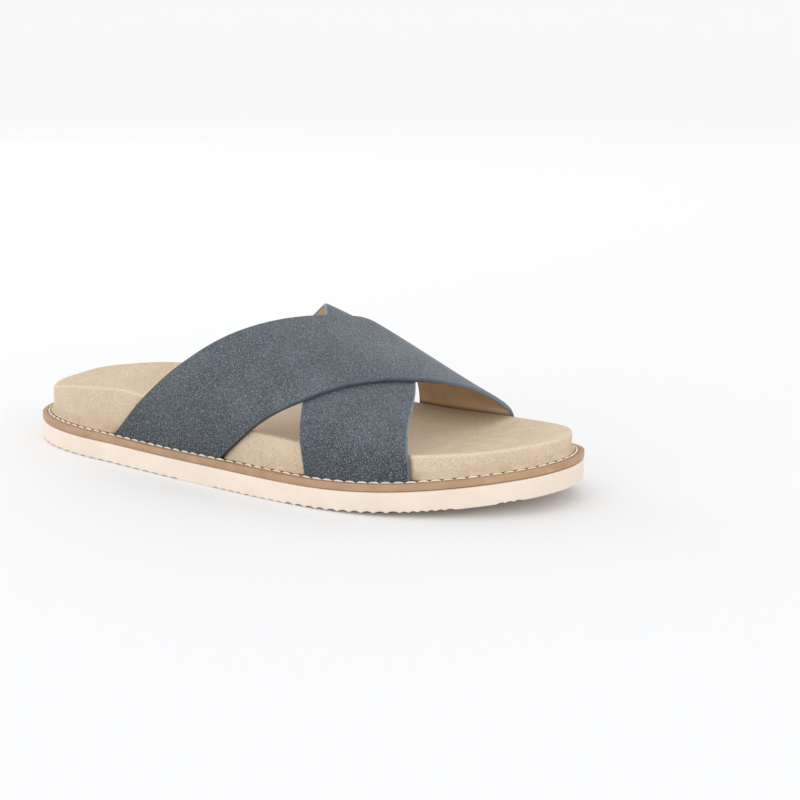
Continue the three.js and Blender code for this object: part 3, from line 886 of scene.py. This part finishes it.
def strap_loop():
    """A strap's section: way across 0 to 1, inset from its edge, depth below the face, and finish."""
    corner = 5
    turns = np.linspace(0, math.pi / 2, corner)
    turn_in = [(EDGE_RADIUS * (1 - math.cos(t)), EDGE_RADIUS * (1 - math.sin(t))) for t in turns]
    columns = np.linspace(0, 1, STRAP_COLUMNS + 1)[1:-1]
    rear = [(0, 0, STRAP_THICKNESS / 2)] + [(0, d, deep) for d, deep in turn_in]
    outer = [(c, 0, 0) for c in columns]
    front = [(1, -d, deep) for _, d, deep in rear[::-1]]
    inner_front = [(1, -d, STRAP_THICKNESS - deep) for _, d, deep in rear[1:]]
    inner = [(c, 0, STRAP_THICKNESS) for c in columns[::-1]]
    inner_rear = [(0, d, STRAP_THICKNESS - deep) for _, d, deep in rear[1:][::-1]]
    finish = [1] * corner + [0] * STRAP_COLUMNS + [1] * (2 * corner)
    finish += [2] * STRAP_COLUMNS + [1] * corner
    return rear + outer + front + inner_front + inner + inner_rear, finish


def paint_strap(piece, share, across, above_rim):
    """Painted shade at the bases and a painted highlight over the front.

    The lining gets painted light at its edges and a painted shadow beside the footbed's rim.
    """
    base_shade, front_highlight, brim_glow, foot_shade = 0.62, 0.3, 0.9, 0.85
    base = 1 - smooth((np.minimum(share, 1 - share) - 0.01) / 0.24)
    front_glow = smooth((share - 0.7) / 0.25) * across**3
    crest_glow = smooth(1 - np.abs(share - 0.6) / 0.14) * np.clip(1 - 2 * across, 0, 1)
    paint(piece, "shade", base_shade * base * np.ones_like(across))
    paint(piece, "painted_highlight", front_highlight * smooth((share - 0.35) / 0.35) * smooth(across * 2))
    paint(piece, "lining_highlight", brim_glow * np.maximum(front_glow, crest_glow))
    paint(piece, "foot", foot_shade * (1 - smooth((above_rim + 0.6) / 2.4)))


def build_strap(name, rear, front, lift, materials):
    """A strap of suede with a lining and painted edges, over the vault between two edges."""
    turn, rise, share = strap_rows()
    loop, finish = strap_loop()
    across, shift, depth = (np.array(column) for column in zip(*loop))
    start = station_x(along(STRAP_EDGES, "share", rear, share))[:, None]
    stop = station_x(along(STRAP_EDGES, "share", front, share))[:, None]
    turn, rise = turn[:, None], rise[:, None]
    x = start + EDGE_RADIUS + (stop - start - 2 * EDGE_RADIUS) * across
    x = np.where(across == 0, start + shift, np.where(across == 1, stop + shift, x))
    middle = vault(x, turn, rise)

    def near_row(offset):
        index = np.clip(np.arange(len(turn)) + offset, 0, len(turn) - 1)
        return vault(x, turn[index], rise[index])

    step = 0.5
    normal = np.cross(vault(x + step, turn, rise) - vault(x - step, turn, rise), near_row(1) - near_row(-1))
    normal /= np.linalg.norm(normal, axis=-1, keepdims=True)
    raise_by = lift(share)[:, None] - depth[None, :]
    points, faces = skin(middle + normal * raise_by[..., None])
    piece = make_piece(name, "upper", points, faces, materials, 60)
    kinds = np.zeros(len(faces), dtype=np.int32)
    kinds[: (len(turn) - 1) * len(loop)] = np.tile(finish, len(turn) - 1)
    piece.data.polygons.foreach_set("material_index", kinds)
    above_rim = middle[..., 2] - spring(x) - SEAT - side_rim(x, turn)
    paint_strap(piece, share[:, None], across[None, :], above_rim)


def over_lift(share):
    """How far the upper strap rides above the vault."""
    nearest = np.minimum(share, 1 - share)
    return (STRAP_THICKNESS + STRAP_GAP) * smooth((nearest - LIFT_FROM) / (LIFT_FULL - LIFT_FROM))


def build_floor():
    """A pale floor that curves up into a backdrop far behind the sandal."""
    reach, far, radius, height, steps = 6.0, 3.0, 2.0, 6.0, 24
    profile = [(-reach, 0.0), (far, 0.0)]
    for k in range(1, steps + 1):
        t = k / steps * math.pi / 2
        profile.append((far + radius * math.sin(t), radius * (1 - math.cos(t))))
    profile.append((far + radius, height))
    points = [(x, y, z) for y, z in profile for x in (-2 * reach, 2 * reach)]
    faces = [(2 * k, 2 * k + 1, 2 * k + 3, 2 * k + 2) for k in range(len(profile) - 1)]
    mesh = bpy.data.meshes.new("floor")
    mesh.from_pydata(points, [], faces)
    mesh.shade_smooth()
    s = Shader("floor", 0.8)
    split = s.nodes.new("ShaderNodeSeparateXYZ")
    s.links.new(s.place, split.inputs["Vector"])
    mesh.materials.append(s.finish(s.mix(s.span(split.outputs["Y"], *FLOOR_FADE), FLOOR_NEAR, FLOOR_FAR)))
    floor = bpy.data.objects.new("floor", mesh)
    bpy.context.scene.collection.objects.link(floor)
    floor.rotation_euler.z = math.radians(FLOOR_TURN)


def add_light(name, place, target, size, power):
    """A soft square light that looks at a target."""
    light = bpy.data.lights.new(name, "AREA")
    light.size = size
    light.energy = power
    lamp = bpy.data.objects.new(name, light)
    lamp.location = place
    lamp.rotation_euler = (Vector(target) - Vector(place)).to_track_quat("-Z", "Y").to_euler()
    bpy.context.scene.collection.objects.link(lamp)


def build_studio():
    """The floor, a white sky and four soft lights."""
    build_floor()
    world = bpy.data.worlds.new("studio")
    world.use_nodes = True
    world.node_tree.nodes["Background"].inputs["Color"].default_value = (1, 1, 1, 1)
    world.node_tree.nodes["Background"].inputs["Strength"].default_value = SKY_STRENGTH
    bpy.context.scene.world = world
    middle = (0, 0, 0.02)
    add_light("top light", (0.1, 0.2, 1.6), middle, 1.6, TOP_POWER)
    add_light("front light", (-0.1, -1.7, 0.45), middle, 1.2, FRONT_POWER)
    add_light("right light", (1.5, -0.5, 0.6), middle, 1.0, RIGHT_POWER)
    add_light("heel light", (-1.6, 0.2, 0.5), middle, 1.0, HEEL_POWER)


def add_camera():
    """The photograph's view of the sandal."""
    camera = bpy.data.cameras.new("camera")
    camera.lens = CAMERA_LENS
    camera.sensor_width = CAMERA_SENSOR
    holder = bpy.data.objects.new("camera", camera)
    holder.location = CAMERA_PLACE
    ahead = Vector(CAMERA_TARGET) - Vector(CAMERA_PLACE)
    holder.rotation_mode = "QUATERNION"
    roll = Quaternion((0, 0, 1), math.radians(CAMERA_ROLL))
    holder.rotation_quaternion = ahead.to_track_quat("-Z", "Y") @ roll
    bpy.context.scene.collection.objects.link(holder)
    bpy.context.scene.camera = holder


add_camera()
build_studio()
bpy.context.scene.view_settings.view_transform = "Standard"

build_outsole(outsole_foam())
build_welt(welt_leather())
build_stitches(thread())
build_footbed(footbed_suede())
suede, inside = strap_suede(), lining()
# One edge paint twice: as lit for the lower strap, and a darker copy in painted shade for the upper strap.
# The last tone of each is its painted shade at the foot
pale_edge = edge_paint("pale edge paint", tone(100, 114, 127), tone(118, 131, 143), tone(86, 98, 110))
shaded_edge = edge_paint("shaded edge paint", tone(56, 67, 80), tone(70, 82, 95), tone(30, 34, 38))
build_strap("lower_strap", "under_rear", "under_front", lambda share: 0 * share, [suede, pale_edge, inside])
build_strap("upper_strap", "over_rear", "over_front", over_lift, [suede, shaded_edge, inside])
